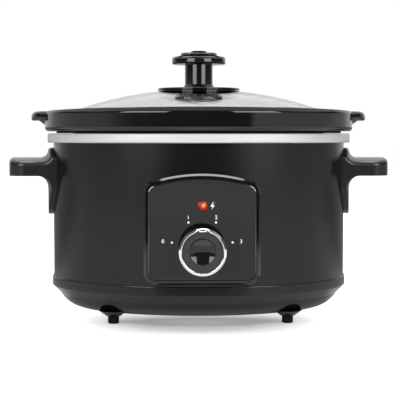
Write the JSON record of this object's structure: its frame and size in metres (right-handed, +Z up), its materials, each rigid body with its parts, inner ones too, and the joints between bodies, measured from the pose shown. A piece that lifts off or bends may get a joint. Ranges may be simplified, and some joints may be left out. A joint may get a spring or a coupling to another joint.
{
  "type": "slow cooker",
  "caption": "Oval countertop slow cooker: black steel housing with side handles, control panel and dial, lift-out stoneware crock and a domed glass lid with a knob.",
  "frame": {"origin": "on the table plane, under the centre of the oval housing", "axes": "+X along the length of the oval, -Y towards the control panel, +Z up"},
  "size_m": [0.369, 0.256, 0.2574],
  "materials": {
    "black_glaze": "glossy black glaze",
    "black_rubber": "matt rubber",
    "bright_chrome": "bright chrome",
    "clear_glass": "clear tempered glass",
    "clear_silicone": "silicone",
    "fibre": "glass fibre blanket",
    "gloss_black": "glossy black moulding",
    "heater_steel": "steel over mica",
    "liner_aluminium": "satin aluminium",
    "painted_steel": "satin black paint",
    "pale_nylon": "natural nylon",
    "red_lens": "clear red lens",
    "satin_black": "satin black moulding",
    "zinc_steel": "zinc-plated steel"
  },
  "bodies": {
    "cooker": {"base_pan": "satin_black", "foot_screws": "zinc_steel", "housing_wall": "painted_steel", "heating_liner": "liner_aluminium", "heater_band": "heater_steel", "heater_bolt": "zinc_steel", "heater_insulation": "fibre", "thermal_cutout": "zinc_steel", "cutout_strap": "zinc_steel", "control_bezel": "gloss_black", "bezel_screws": "zinc_steel", "control_fascia": "satin_black", "rotary_switch": "satin_black", "switch_nut": "zinc_steel", "lamp_lens": "red_lens", "lamp_holder": "satin_black", "cord_gland": "satin_black", "gland_nut": "satin_black", "terminal_block": "pale_nylon", "handle_left": "satin_black", "handle_right": "satin_black", "handle_screws_left": "zinc_steel", "handle_screws_right": "zinc_steel", "handle_backing_left": "zinc_steel", "handle_backing_right": "zinc_steel", "foot_front_left": "black_rubber", "foot_front_right": "black_rubber", "foot_rear_left": "black_rubber", "foot_rear_right": "black_rubber", "tie_stud": "zinc_steel", "tie_washer": "zinc_steel", "tie_nut": "zinc_steel"},
    "crock": {"crock": "black_glaze"},
    "lid": {"lid_glass": "clear_glass", "lid_knob_base": "gloss_black", "lid_knob": "gloss_black", "lid_seal": "clear_silicone", "lid_retainer": "satin_black", "lid_washer": "zinc_steel", "lid_screw": "zinc_steel"},
    "dial": {"control_knob": "satin_black", "knob_ring": "bright_chrome", "knob_dish": "gloss_black", "switch_shaft": "zinc_steel"}
  },
  "joints": [
    {"name": "crock_lift", "type": "slide", "parent": "cooker", "child": "crock", "axis": [0, 0, 1], "range_m": [0, 0.17]},
    {"name": "lid_lift", "type": "slide", "parent": "crock", "child": "lid", "axis": [0, 0, 1], "range_m": [0, 0.12]},
    {"name": "dial_turn", "type": "hinge", "parent": "cooker", "child": "dial", "pos_m": [0, -0.1175, 0.0727], "axis": [0, 1, 0], "range_deg": [-75, 75]}
  ]
}
